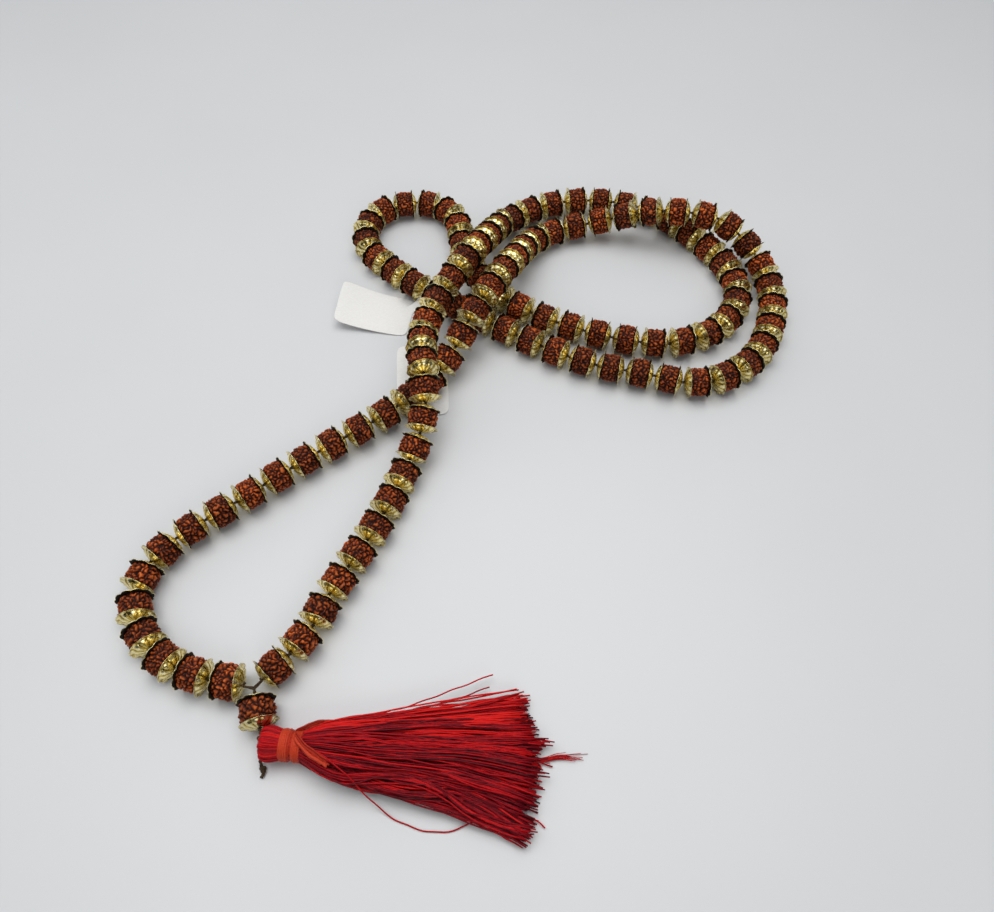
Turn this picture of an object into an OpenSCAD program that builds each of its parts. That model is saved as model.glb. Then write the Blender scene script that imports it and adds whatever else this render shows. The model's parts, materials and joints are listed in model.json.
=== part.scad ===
// Mala: a loop of 108 capped seed beads, a guru bead, a thread tassel and a blank paper tag,
// laid down on a flat surface. Millimetres, +Z up, Z = 0 is the surface, origin under the middle.

/* [Beads] */
// Diameter of a seed across its middle
seed_d = 9; // [8.6:0.1:9]
// Diameter of the scalloped rim of a cap
cap_d = 9.6; // [9.4:0.1:9.6]
// Length of a bead with its two caps, hub to hub
bead_length = 8.1; // [7.9:0.05:8.15]
// Wall of the stamped metal caps
cap_wall = 0.2; // [0.15:0.05:0.2]

/* [String] */
// Diameter of the string
string_d = 0.9; // [0.6:0.1:1]

/* [Tassel] */
// Length of the skirt of threads, from its neck
skirt_length = 56; // [48:1:58]
// Width of the skirt at its loose ends
skirt_spread = 34; // [26:1:34]

/* [Tag] */
// Length of one panel of the tag
tag_length = 25; // [20:1:26]
// Width of one panel of the tag
tag_width = 16; // [12:1:16]
// Thickness of the paper
tag_t = 0.3; // [0.2:0.05:0.3]

/* [Hidden] */

bead_count = 108;

// The string's route: x, y and how far it is lifted above its lying height, from the guru bead
// along the left leg, over the crossing, round the outer and the small coil, back over and home.
ROUTE = [
    [-60, -71.5, 0], [-75, -69, 0], [-88, -60, 0], [-93, -46, 0], [-87, -33, 0], [-71, -20, 0],
    [-51, -4, 0], [-30, 11, 0.7], [-15, 27, 1.3], [-5, 44, 9], [3, 58, 10.5], [9, 71, 6.5],
    [14, 83, 1], [24, 90, 0], [38, 92, 2], [51, 90, 7.5], [64, 87, 10.5], [77, 84, 10], [88, 76, 4],
    [93, 62, 0], [90, 45, 0], [81, 30, 0], [65, 22, 0], [47, 26, 0], [28, 31, 0], [4, 44, 0],
    [-19, 59, 0], [-34, 71, 0], [-42, 80, 0], [-44, 91, 0], [-38, 101, 0], [-27, 104, 0],
    [-16, 101, 0], [-11, 91, 0], [-9, 77, 0], [0, 61, 0], [15, 50, 0], [37, 41, 0], [58, 38, 0],
    [74, 45, 0], [82, 59, 0], [79, 74, 0], [70, 87, 0], [58, 99, 0], [40, 105, 0], [20, 103, 0],
    [5, 93, 1], [-1, 80, 6.5], [-8, 64, 11.5], [-17, 48, 9], [-21, 34, 8], [-20, 20, 11],
    [-19, 6, 6], [-24, -9, 0], [-31, -27, 0], [-42, -48, 0], [-47, -60, 0], [-56.5, -70.5, 0]
];

// Bead ranges of each group, as [first, last] pairs counted from the guru bead
FRONT_END = [[1, 4], [106, 108]];
FRONT_MID = [[5, 9], [104, 105]];
FRONT_NEAR = [[10, 14], [100, 103]];
OUTER_RUN = [[15, 36]];
OUTER_ARC = [[37, 46]];
LOWER_RUN = [[47, 54]];
SMALL_LOOP = [[55, 62]];
INNER_RUN = [[63, 68]];
INNER_ARC = [[69, 75]];
BACK_RUN = [[76, 99]];

seed_colour = "#7c3722";
cap_colour = "#d8b54a";
string_colour = "#5b3a25";
thread_colour = "#c3161d";
binding_colour = "#d93a22";
paper_colour = "#eceae4";

lying_z = cap_d / 2;
bore_r = 0.75;
string_sides = 8;
string_gap = 0.35; // the string stops this far short of each point where it flexes
spline_steps = 12;

// Cap wall from hub hole to rim: radius, depth in from the hub
CAP_LINE = [[0.95, 0], [1.6, 0.15], [2.4, 0.4], [3.4, 0.75], [cap_d / 2, 1.3]];
seed_end = bead_length / 2 - 0.45;
seed_end_r = 1.4;
seed_rim_r = seed_d / 2 + 0.1;
seed_shoulder = bead_length / 2 - 1.45;

// Where both ends of the string meet above the guru bead, and the way they run on through it
guru_top = [-57.7, -72.6, lying_z];
guru_way = [0.285, -0.958, 0];
guru_start = 1.9;
guru_drop = 12.8;
guru_foot = guru_top + guru_drop * guru_way;
knot_r = 1.1;
knot_gap = 0.02;

// Tassel, in a frame that starts at the knot below the guru bead with +X along the tassel
tassel_turn = -5;
tassel_axis_y = -1.2;
tassel_axis_z = 4.7;
head_start = 1.4;
head_r = 4.2;
head_corner = 2.4;
neck_x = 9;
neck_r = 3.7;
binding_bore_r = neck_r + 0.1;
binding_r = 4.7;
skirt_ball_r = 3;
skirt_stem_r = 2.3;
skirt_collar = [2.6, 2.4]; // distance past the neck, radius
skirt_shoulder = [4.8, 4.4];
skirt_thick = 3.5;
skirt_corner_r = 2;
skirt_end_curve = 4; // how much shorter the outermost threads are
skirt_overlap = 0.4;

// Route of the string's short tail past the knot, in the tassel's frame
TAIL = [[-0.9, -1.4, 4], [-1.6, -3.4, 1.6], [-1.3, -5.5, 0.6], [0.6, -8.2, 0.6], [3, -9, 0.6]];

// The folded paper tag: its strip passes round the string between beads 52 and 53
tag_joint = 52;
tag_corner = 1.5;
tag_strip_w = 2.4;
tag_band_w = 1.6;
tag_end_w = 0.6;
tag_end_out = 1.1; // from the string to where the front strip ends
tag_fold_out = 3.6;
tag_fold_drop = 3.2;
tag_back_extra = 3; // the back panel is longer than the front one
strip_foot = 0.2;
front_panel_at = [-40.5, 51.5, 0];
front_panel_turn = -9;
front_strip_at = [-30, 55, 0];
back_panel_at = [-21.5, 27, 0];
back_panel_turn = -86;
back_strip_at = [[-24, 40, 0], [-23.5, 52, 0]];

function unit(v) = v / norm(v);

// Catmull-Rom curve through the route
function spline_point(p, i, t) =
    let (
        a = p[max(i - 1, 0)],
        b = p[i],
        c = p[i + 1],
        d = p[min(i + 2, len(p) - 1)]
    )
    (2 * b + (c - a) * t + (2 * a - 5 * b + 4 * c - d) * t * t + (3 * (b - c) - a + d) * t * t * t) / 2;

function laid(p) = [p.x, p.y, lying_z + max(p.z, 0)];

curve = concat(
    [for (i = [0:len(ROUTE) - 2]) for (k = [0:spline_steps - 1])
        laid(spline_point(ROUTE, i, k / spline_steps))],
    [laid(ROUTE[len(ROUTE) - 1])]
);
curve_end = len(curve) - 1;

// Distance along the curve at each of its points
travelled = [
    for (i = 0, s = 0; i <= curve_end; s = s + norm(curve[min(i + 1, curve_end)] - curve[i]), i = i + 1) s
];

function along_curve(s, axis) = lookup(s, [for (i = [0:curve_end]) [travelled[i], curve[i][axis]]]);

pitch = travelled[curve_end] / bead_count;

// The points between beads, where the string is free to flex: joint k follows bead k
joints = [
    for (k = [0:bead_count]) [for (axis = [0:2]) along_curve(k * pitch, axis)]
];

// Puts children halfway from a to b with +Z pointing at b
module between(a, b) {
    way = unit(b - a);
    translate((a + b) / 2)
        rotate([0, acos(way.z), atan2(way.y, way.x)])
            children();
}

module each_bead(ranges) {
    for (range = ranges)
        for (k = [range[0]:range[1]])
            between(joints[k - 1], joints[k])
                children();
}

module seed() {
    rotate_extrude($fn = 48)
        intersection() {
            circle(d = seed_d, $fn = 48);
            polygon([
                [bore_r, -seed_end], [seed_end_r, -seed_end], [seed_rim_r, -seed_shoulder],
                [seed_rim_r, seed_shoulder], [seed_end_r, seed_end], [bore_r, seed_end]
            ]);
        }
}

module cap_at_top() {
    hub_z = bead_length / 2;
    last = len(CAP_LINE) - 1;
    outside = [for (p = CAP_LINE) [p[0], hub_z - p[1]]];
    inside = [for (i = [last:-1:0]) [CAP_LINE[i][0], hub_z - CAP_LINE[i][1] - cap_wall]];
    rotate_extrude($fn = 48)
        polygon(concat(outside, inside));
}

module cap_pair() {
    cap_at_top();
    mirror([0, 0, 1])
        cap_at_top();
}

module seeds(ranges) {
    color(seed_colour)
        each_bead(ranges)
            seed();
}

module caps(ranges) {
    color(cap_colour)
        each_bead(ranges)
            cap_pair();
}

// A tube swept along the points, one ring at each
module tube(points, r) {
    last = len(points) - 1;
    ways = [for (i = [0:last]) unit(points[min(i + 1, last)] - points[max(i - 1, 0)])];
    rings = [
        for (i = [0:last])
            let (side = unit(cross(ways[i], [0, 0, 1])), up = cross(side, ways[i]))
            for (k = [0:string_sides - 1])
                let (turn = 360 * k / string_sides)
                points[i] + r * (cos(turn) * side + sin(turn) * up)
    ];
    walls = [
        for (i = [0:last - 1]) for (k = [0:string_sides - 1])
            let (next = (k + 1) % string_sides, row = i * string_sides)
            [row + k, row + next, row + string_sides + next, row + string_sides + k]
    ];
    start_face = [for (k = [string_sides - 1:-1:0]) k];
    end_face = [for (k = [0:string_sides - 1]) last * string_sides + k];
    polyhedron(rings, concat([start_face], walls, [end_face]));
}

function trimmed(points) =
    let (last = len(points) - 1)
    [
        for (i = [0:last])
            i == 0 ? points[0] + string_gap * unit(points[1] - points[0])
            : i == last ? points[last] + string_gap * unit(points[last - 1] - points[last])
            : points[i]
    ];

module string(ranges) {
    color(string_colour)
        for (range = ranges)
            tube(trimmed([for (k = [range[0] - 1:range[1]]) joints[k]]), string_d / 2);
}

module guru_line() {
    between(guru_top + guru_start * guru_way, guru_top + (guru_start + bead_length) * guru_way)
        children();
}

module seed_guru() {
    color(seed_colour)
        guru_line()
            seed();
}

module caps_guru() {
    color(cap_colour)
        guru_line()
            cap_pair();
}

// Both ends of the string, twisted together from where they meet down to the knot
module string_guru() {
    color(string_colour)
        between(guru_top, guru_foot - knot_r * guru_way)
            cylinder(d = string_d, h = guru_drop - knot_r, center = true, $fn = 32);
}

module knot_guru() {
    color(string_colour)
        translate(guru_foot)
            sphere(r = knot_r - knot_gap, $fn = 32);
}

module at_tassel() {
    translate([guru_foot.x, guru_foot.y, 0])
        rotate(tassel_turn)
            children();
}

module on_tassel_axis(x) {
    at_tassel()
        translate([x, tassel_axis_y, tassel_axis_z])
            rotate([0, 90, 0])
                children();
}

// Folded ends of the threads, rounded where they turn
module tassel_head() {
    length = neck_x - skirt_ball_r - 0.3 - head_start;
    shoulder = length - 1;
    color(thread_colour)
        on_tassel_axis(head_start)
            rotate_extrude($fn = 48) {
                translate([0, head_corner])
                    square([head_r, shoulder - head_corner]);
                square([head_r - head_corner, shoulder]);
                translate([0, head_corner])
                    square([neck_r, length - head_corner]);
                intersection() {
                    translate([head_r - head_corner, head_corner])
                        circle(r = head_corner, $fn = 48);
                    square([head_r, head_corner]);
                }
            }
}

// Wound thread that ties the neck
module tassel_binding() {
    back = neck_x - skirt_ball_r - 1.2;
    front = neck_x + 2;
    color(binding_colour)
        on_tassel_axis(back)
            difference() {
                cylinder(r = binding_r, h = front - back, $fn = 48);
                translate([0, 0, -1])
                    cylinder(r = binding_bore_r, h = front - back + 2, $fn = 48);
            }
}

module skirt_disc(place) {
    on_tassel_axis(neck_x + place.x)
        cylinder(r = place.y, h = 0.4, $fn = 32);
}

// The loose threads as one flared solid, hung from a ball inside the binding
module tassel_skirt() {
    color(thread_colour) {
        on_tassel_axis(neck_x)
            sphere(r = skirt_ball_r, $fn = 32);
        on_tassel_axis(neck_x)
            cylinder(r = skirt_stem_r, h = skirt_collar.x + skirt_overlap, $fn = 32);
        hull() {
            skirt_disc(skirt_collar);
            skirt_disc(skirt_shoulder);
            at_tassel()
                for (turn = [-1:0.5:1])
                    translate([
                        neck_x + skirt_length - skirt_corner_r - skirt_end_curve * turn * turn,
                        tassel_axis_y + turn * (skirt_spread / 2 - skirt_corner_r),
                        0
                    ])
                        cylinder(r = skirt_corner_r, h = skirt_thick, $fn = 24);
        }
    }
}

// The short tail of the string, lying on the surface
module tassel_string_end() {
    color(string_colour)
        at_tassel()
            tube(TAIL, string_d / 2);
}

module round_panel(length, width) {
    linear_extrude(tag_t) {
        square([length - 2 * tag_corner, width], center = true);
        square([length, width - 2 * tag_corner], center = true);
        for (x = [-1, 1])
            for (y = [-1, 1])
                translate([x * (length / 2 - tag_corner), y * (width / 2 - tag_corner)])
                    circle(r = tag_corner, $fn = 32);
    }
}

// Narrow strip of the tag between two points, wider at its second end
module strip(a, a_width, b, b_width) {
    way = atan2(b.y - a.y, b.x - a.x);
    hull() {
        translate(a)
            rotate(way)
                translate([0, -a_width / 2, 0])
                    cube([strip_foot, a_width, tag_t]);
        translate(b)
            rotate(way)
                translate([-strip_foot, -b_width / 2, 0])
                    cube([strip_foot, b_width, tag_t]);
    }
}

tag_point = joints[tag_joint];
tag_way = unit(joints[tag_joint + 1] - joints[tag_joint - 1]);
tag_hang = [tag_way.y, -tag_way.x, 0] * (tag_way.x > 0 ? 1 : -1);
tag_fold = tag_point + tag_fold_out * tag_hang - [0, 0, tag_fold_drop];

module tag_front() {
    color(paper_colour) {
        translate(front_panel_at)
            rotate(front_panel_turn)
                round_panel(tag_length, tag_width);
        strip(front_strip_at, tag_strip_w, tag_fold, tag_band_w);
        strip(tag_fold, tag_band_w, tag_point + tag_end_out * tag_hang, tag_end_w);
    }
}

module tag_back() {
    color(paper_colour) {
        translate(back_panel_at)
            rotate(back_panel_turn)
                round_panel(tag_length + tag_back_extra, tag_width);
        strip(back_strip_at[0], tag_strip_w, back_strip_at[1], tag_band_w);
    }
}

module tag_loop() {
    color(paper_colour)
        between(tag_point - 0.3 * tag_way, tag_point + 0.3 * tag_way)
            rotate_extrude($fn = 32)
                translate([string_d / 2 + 0.1, -0.25])
                    square([tag_t, 0.5]);
}

seeds(FRONT_END);  // seeds_front_end
caps(FRONT_END);  // caps_front_end
string(FRONT_END);  // string_front_end
seeds(FRONT_MID);  // seeds_front_mid
caps(FRONT_MID);  // caps_front_mid
string(FRONT_MID);  // string_front_mid
seeds(FRONT_NEAR);  // seeds_front_near
caps(FRONT_NEAR);  // caps_front_near
string(FRONT_NEAR);  // string_front_near
seeds(OUTER_RUN);  // seeds_outer_run
caps(OUTER_RUN);  // caps_outer_run
string(OUTER_RUN);  // string_outer_run
seeds(OUTER_ARC);  // seeds_outer_arc
caps(OUTER_ARC);  // caps_outer_arc
string(OUTER_ARC);  // string_outer_arc
seeds(LOWER_RUN);  // seeds_lower_run
caps(LOWER_RUN);  // caps_lower_run
string(LOWER_RUN);  // string_lower_run
seeds(SMALL_LOOP);  // seeds_small_loop
caps(SMALL_LOOP);  // caps_small_loop
string(SMALL_LOOP);  // string_small_loop
seeds(INNER_RUN);  // seeds_inner_run
caps(INNER_RUN);  // caps_inner_run
string(INNER_RUN);  // string_inner_run
seeds(INNER_ARC);  // seeds_inner_arc
caps(INNER_ARC);  // caps_inner_arc
string(INNER_ARC);  // string_inner_arc
seeds(BACK_RUN);  // seeds_back_run
caps(BACK_RUN);  // caps_back_run
string(BACK_RUN);  // string_back_run
seed_guru();
caps_guru();
string_guru();
knot_guru();
tassel_head();
tassel_binding();
tassel_skirt();
tassel_string_end();
tag_front();
tag_back();
tag_loop();
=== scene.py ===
import json
import math

import bpy
import numpy as np
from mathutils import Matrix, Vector


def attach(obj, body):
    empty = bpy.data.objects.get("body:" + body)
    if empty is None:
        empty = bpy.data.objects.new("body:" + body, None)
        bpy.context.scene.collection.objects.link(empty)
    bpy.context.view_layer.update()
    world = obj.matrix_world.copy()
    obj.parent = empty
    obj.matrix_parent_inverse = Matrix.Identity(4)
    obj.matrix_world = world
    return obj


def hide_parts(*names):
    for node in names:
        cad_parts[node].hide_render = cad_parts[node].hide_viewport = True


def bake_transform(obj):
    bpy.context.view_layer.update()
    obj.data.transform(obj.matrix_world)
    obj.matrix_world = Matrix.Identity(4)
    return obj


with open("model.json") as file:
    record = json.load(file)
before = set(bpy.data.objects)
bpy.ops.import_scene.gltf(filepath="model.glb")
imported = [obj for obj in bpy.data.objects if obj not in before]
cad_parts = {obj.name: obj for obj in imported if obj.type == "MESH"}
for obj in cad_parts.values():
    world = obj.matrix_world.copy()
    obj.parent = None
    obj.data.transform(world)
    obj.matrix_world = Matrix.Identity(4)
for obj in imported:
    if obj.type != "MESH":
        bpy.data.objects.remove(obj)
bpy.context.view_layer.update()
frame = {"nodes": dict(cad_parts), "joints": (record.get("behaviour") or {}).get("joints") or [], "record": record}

MM = 0.001
TAU = 2 * math.pi
UP = (0, 0, 1)
BODIES = frame["record"]["behaviour"]["bodies"]
BODY_OF = {node: body for body, nodes in BODIES.items() for node in nodes}
JOINTS = {joint["name"]: joint for joint in frame["joints"]}


# Tassel: its frame starts on the surface under the knot, with X along it

TASSEL_SIDE = -np.array(JOINTS["tassel_lift"]["axis"])
TASSEL_WAY = np.cross(TASSEL_SIDE, UP)
TASSEL_START = np.array([*JOINTS["tassel_swing"]["pos_m"][:2], 0])
TASSEL_TURN = -math.atan2(TASSEL_WAY[1], TASSEL_WAY[0])
TASSEL_AXES = np.array([TASSEL_WAY, TASSEL_SIDE, UP])
NECK = (np.array(JOINTS["tassel_lift"]["pos_m"]) - TASSEL_START) @ TASSEL_AXES.T / MM
# Where the middle of the head and the binding runs, beside and above the tassel's X axis, in mm
AXIS_Y, AXIS_Z = -0.7, 4.35


def from_tassel(points):
    """Points in the tassel's frame, in mm, put in the part's frame, in metres."""
    return np.asarray(points, float) * MM @ TASSEL_AXES + TASSEL_START


# Camera: above and in front, looking down along +Y


def make_camera():
    """The camera at the studio's viewing distance and angle."""
    aim = Vector((2 * MM, -1.5 * MM, 0))
    distance = 249.4 * MM
    pitch = math.radians(57.06)
    data = bpy.data.cameras.new("camera")
    data.sensor_width = 36
    data.lens = 30.47
    data.clip_start = 5 * MM
    camera = bpy.data.objects.new("camera", data)
    camera.location = aim + distance * Vector((0, -math.cos(pitch), math.sin(pitch)))
    camera.rotation_euler = (math.pi / 2 - pitch, 0, 0)
    bpy.context.scene.collection.objects.link(camera)
    bpy.context.scene.camera = camera


# Materials


def set_stops(ramp, stops):
    """Gives a colour ramp its stops, each a place from 0 to 1 and a colour."""
    elements = ramp.color_ramp.elements
    while len(elements) < len(stops):
        elements.new(0.5)
    for element, (at, colour) in zip(elements, stops):
        element.position = at
        element.color = (*colour, 1)


class Nodes:
    """A new material's node tree, with short ways to add to it."""

    def __init__(self, name):
        self.material = bpy.data.materials.new(name)
        self.material.use_nodes = True
        self.tree = self.material.node_tree
        self.shader = self.tree.nodes["Principled BSDF"]

    def add(self, kind, **settings):
        node = self.tree.nodes.new("ShaderNode" + kind)
        for key, value in settings.items():
            setattr(node, key, value)
        return node

    def link(self, source, target):
        self.tree.links.new(source, target)

    def set(self, **values):
        for key, value in values.items():
            self.shader.inputs[key.replace("_", " ")].default_value = value

    def place(self, stretch=(1, 1, 1), turn=0.0):
        """Object coordinates in millimetres, stretched and turned."""
        here = self.add("TexCoord")
        mapping = self.add("Mapping", vector_type="POINT")
        mapping.inputs["Rotation"].default_value = (0, 0, turn)
        mapping.inputs["Scale"].default_value = [s / MM for s in stretch]
        self.link(here.outputs["Object"], mapping.inputs["Vector"])
        return mapping.outputs["Vector"]

    def noise(self, place, scale, detail=3.0, roughness=0.5):
        node = self.add("TexNoise")
        node.inputs["Scale"].default_value = scale
        node.inputs["Detail"].default_value = detail
        node.inputs["Roughness"].default_value = roughness
        self.link(place, node.inputs["Vector"])
        return node.outputs["Fac"]

    def value(self, name):
        """A value that the piece's mesh holds for each point."""
        return self.add("Attribute", attribute_name=name).outputs["Fac"]

    def ramp(self, source, stops):
        node = self.add("ValToRGB")
        set_stops(node, stops)
        self.link(source, node.inputs["Fac"])
        return node.outputs["Color"]

    def remap(self, source, low, high, to_low, to_high):
        node = self.add("MapRange")
        for key, value in zip(("From Min", "From Max", "To Min", "To Max"), (low, high, to_low, to_high)):
            node.inputs[key].default_value = value
        self.link(source, node.inputs["Value"])
        return node.outputs["Result"]

    def maths(self, operation, a, b):
        node = self.add("Math", operation=operation)
        for socket, value in zip(node.inputs, (a, b)):
            if isinstance(value, (int, float)):
                socket.default_value = value
            else:
                self.link(value, socket)
        return node.outputs["Value"]

    def tinted(self, colour, amount):
        """The colour made brighter or darker by a value around 1."""
        node = self.add("HueSaturation")
        self.link(amount, node.inputs["Value"])
        self.link(colour, node.inputs["Color"])
        return node.outputs["Color"]

    def bump(self, height, depth, strength):
        node = self.add("Bump")
        node.inputs["Strength"].default_value = strength
        node.inputs["Distance"].default_value = depth
        self.link(height, node.inputs["Height"])
        self.link(node.outputs["Normal"], self.shader.inputs["Normal"])


def seed_material():
    """Polished reddish-brown ridges over dark furrows: the furrows are darkened as painted shade and the ridge
    tops lightened as a painted highlight.
    """
    n = Nodes("seed")
    place = n.place()
    ridge = n.maths("ADD", n.value("ridge"), n.remap(n.noise(place, 1.4), 0.3, 0.7, -0.14, 0.14))
    # From furrow to ridge top: the near-black low end is painted shade in the furrows, the bright high end a
    # painted highlight on the tops.
    stops = [
        (0.0, (0.006, 0.0015, 0.001)),
        (0.30, (0.026, 0.004, 0.001)),
        (0.60, (0.125, 0.019, 0.003)),
        (0.88, (0.330, 0.058, 0.008)),
        (1.0, (0.480, 0.112, 0.020)),
    ]
    colour = n.tinted(n.ramp(ridge, stops), n.value("tint"))
    n.link(colour, n.shader.inputs["Base Color"])
    n.link(n.remap(ridge, 0.2, 1.0, 0.62, 0.36), n.shader.inputs["Roughness"])
    n.set(Specular_IOR_Level=0.16)
    n.bump(n.noise(place, 5.0, 4.0), 0.05 * MM, 0.6)
    return n.material


def gilt_material():
    """Thin stamped gilt sheet, brighter on the petals as a painted highlight and dull in the creases as painted
    shade.
    """
    n = Nodes("gilt")
    place = n.place()
    # Darker in the creases and lighter on the petals, from the ridge value: painted shade and painted highlight;
    # the noise adds uneven wear.
    crease_shade_and_wear = n.maths("ADD", n.value("ridge"), n.remap(n.noise(place, 0.9), 0.3, 0.7, -0.25, 0.25))
    stops = [
        (0.0, (0.22, 0.150, 0.040)),
        (0.35, (0.66, 0.500, 0.160)),
        (0.75, (0.88, 0.730, 0.290)),
        (1.0, (0.95, 0.850, 0.500)),
    ]
    n.link(n.tinted(n.ramp(crease_shade_and_wear, stops), n.value("tint")), n.shader.inputs["Base Color"])
    n.link(n.remap(n.noise(place, 2.2), 0.3, 0.7, 0.17, 0.36), n.shader.inputs["Roughness"])
    n.set(Metallic=1.0)
    n.bump(n.noise(place, 1.2, 2.0), 0.07 * MM, 0.5)
    return n.material


def cap_shaded_inside_material():
    """The inside of a cap, nearly black: painted shade and a painted reflection of the dark seed, standing in for
    the shadow inside the cap.
    """
    n = Nodes("cap_shaded_inside")
    place = n.place()
    # Near black throughout: painted shade and a painted reflection of the seed inside the cap.
    stops = [(0.3, (0.004, 0.003, 0.002)), (0.7, (0.018, 0.011, 0.006))]
    n.link(n.ramp(n.noise(place, 1.2), stops), n.shader.inputs["Base Color"])
    n.link(n.remap(n.noise(place, 3.0), 0.3, 0.7, 0.55, 0.75), n.shader.inputs["Roughness"])
    n.set(Specular_IOR_Level=0.12)
    n.bump(n.noise(place, 4.0), 0.04 * MM, 0.5)
    return n.material


THREAD_SHADES = [
    (0.0, (0.022, 0.000, 0.002)),
    (0.35, (0.165, 0.001, 0.007)),
    (0.7, (0.490, 0.003, 0.006)),
    (1.0, (0.700, 0.012, 0.010)),
]
BINDING_SHADES = [
    (0.0, (0.170, 0.008, 0.007)),
    (0.5, (0.430, 0.026, 0.011)),
    (1.0, (0.680, 0.075, 0.026)),
]


def thread_material(name, stops):
    """Silky thread: fine streaks along the tassel, and a shade for each thread, partly its own tone and partly
    painted light and shade from where it lies.
    """
    n = Nodes(name)
    streaks = n.noise(n.place((0.35, 7.0, 7.0), TASSEL_TURN), 1.0, 4.0, 0.6)
    shade = n.maths("ADD", n.value("shade"), n.remap(streaks, 0.3, 0.7, -0.22, 0.22))
    n.link(n.ramp(shade, stops), n.shader.inputs["Base Color"])
    n.link(n.remap(streaks, 0.3, 0.7, 0.62, 0.42), n.shader.inputs["Roughness"])
    n.set(Sheen_Weight=0.07, Sheen_Roughness=0.4, Sheen_Tint=(1.0, 0.2, 0.15, 1))
    n.set(Specular_IOR_Level=0.16)
    n.bump(streaks, 0.06 * MM, 0.7)
    return n.material


def string_material():
    """Waxed brown cord."""
    n = Nodes("string")
    place = n.place()
    grain = n.noise(place, 4.0, 4.0)
    stops = [(0.25, (0.018, 0.010, 0.005)), (0.6, (0.075, 0.045, 0.022)), (0.9, (0.150, 0.095, 0.050))]
    n.link(n.ramp(grain, stops), n.shader.inputs["Base Color"])
    n.link(n.remap(grain, 0.3, 0.7, 0.75, 0.55), n.shader.inputs["Roughness"])
    n.set(Specular_IOR_Level=0.25)
    n.bump(grain, 0.05 * MM, 0.8)
    return n.material


def paper_material():
    """Smooth white card with faint fibres."""
    n = Nodes("paper")
    place = n.place()
    fibres = n.noise(n.place((1.0, 4.0, 1.0)), 1.3, 5.0, 0.65)
    stops = [(0.3, (0.76, 0.75, 0.72)), (0.7, (0.86, 0.86, 0.84))]
    n.link(n.ramp(fibres, stops), n.shader.inputs["Base Color"])
    n.link(n.remap(n.noise(place, 0.6), 0.3, 0.7, 0.48, 0.62), n.shader.inputs["Roughness"])
    n.bump(fibres, 0.02 * MM, 0.5)
    return n.material


def floor_material():
    """Plain pale surface with a faint gloss."""
    n = Nodes("floor")
    place = n.place((0.02, 0.02, 0.02))
    stops = [(0.3, (0.645, 0.655, 0.665)), (0.7, (0.665, 0.675, 0.685))]
    n.link(n.ramp(n.noise(place, 0.5), stops), n.shader.inputs["Base Color"])
    n.set(Roughness=0.34, Specular_IOR_Level=0.35)
    return n.material


# Mesh building


def unit(v):
    """Vectors of the same direction and length 1."""
    return v / np.linalg.norm(v, axis=-1, keepdims=True)


def bands(rows, around, looped=False):
    """Quads between rows of points, each row closing on itself; looped joins the last row to the first."""
    row = np.arange(rows if looped else rows - 1)[:, None]
    here = np.arange(around)[None, :]
    after = (here + 1) % around
    above = (row + 1) % rows
    corners = (row * around + here, row * around + after, above * around + after, above * around + here)
    return np.stack(corners, -1).reshape(-1, 4)


class Shape:
    """Points, faces and per-point values, gathered into one piece."""

    def __init__(self):
        self.points, self.faces, self.slots, self.values, self.count = [], [], [], {}, 0

    def add(self, points, faces, slots=0, **values):
        points = np.asarray(points, float).reshape(-1, 3)
        faces = np.asarray(faces)
        self.points.append(points)
        self.faces += (faces + self.count).tolist()
        self.slots += np.broadcast_to(slots, len(faces)).tolist()
        for name, value in values.items():
            flat = np.broadcast_to(np.asarray(value, float), len(points))
            self.values.setdefault(name, []).append(flat)
        self.count += len(points)

    def close(self, rings):
        """Adds end faces to points that are already there, each given as a ring of point numbers."""
        self.faces += np.asarray(rings).tolist()
        self.slots += [0] * len(rings)

    def piece(self, name, materials):
        """The finished Blender object."""
        mesh = bpy.data.meshes.new(name)
        mesh.from_pydata(np.vstack(self.points).tolist(), [], self.faces)
        for material in materials:
            mesh.materials.append(material)
        mesh.polygons.foreach_set("material_index", self.slots)
        mesh.polygons.foreach_set("use_smooth", [True] * len(mesh.polygons))
        for key, parts in self.values.items():
            mesh.attributes.new(key, "FLOAT", "POINT").data.foreach_set("value", np.concatenate(parts))
        mesh.update()
        obj = bpy.data.objects.new(name, mesh)
        bpy.context.scene.collection.objects.link(obj)
        return obj


def finish_piece(obj, body, node):
    """The piece rides on a body and stands for a CAD node."""
    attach(obj, body)
    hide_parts(node)


def add_tubes(shape, paths, radii, across, sides=5, **values):
    """Adds a closed round thread along each path; across is a direction that no path runs along."""
    paths = np.asarray(paths, float)
    count, rings = paths.shape[:2]
    radii = np.broadcast_to(radii, (count, rings))
    way = unit(np.gradient(paths, axis=1))
    side = unit(np.cross(way, across))
    up = np.cross(way, side)
    turn = np.arange(sides) * TAU / sides
    ring = np.cos(turn)[:, None] * side[:, :, None] + np.sin(turn)[:, None] * up[:, :, None]
    points = paths[:, :, None] + radii[:, :, None, None] * ring
    per_tube = rings * sides
    starts = np.arange(count)[:, None, None] * per_tube
    quads = (bands(rings, sides)[None] + starts).reshape(-1, 4)
    first = shape.count
    spread = {key: np.repeat(np.broadcast_to(v, (count,)), per_tube) for key, v in values.items()}
    shape.add(points, quads, **spread)
    near = np.arange(sides)[::-1]
    far = np.arange(sides) + per_tube - sides
    ends = np.stack([near, far])[None] + starts + first
    shape.close(ends.reshape(-1, sides))


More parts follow.
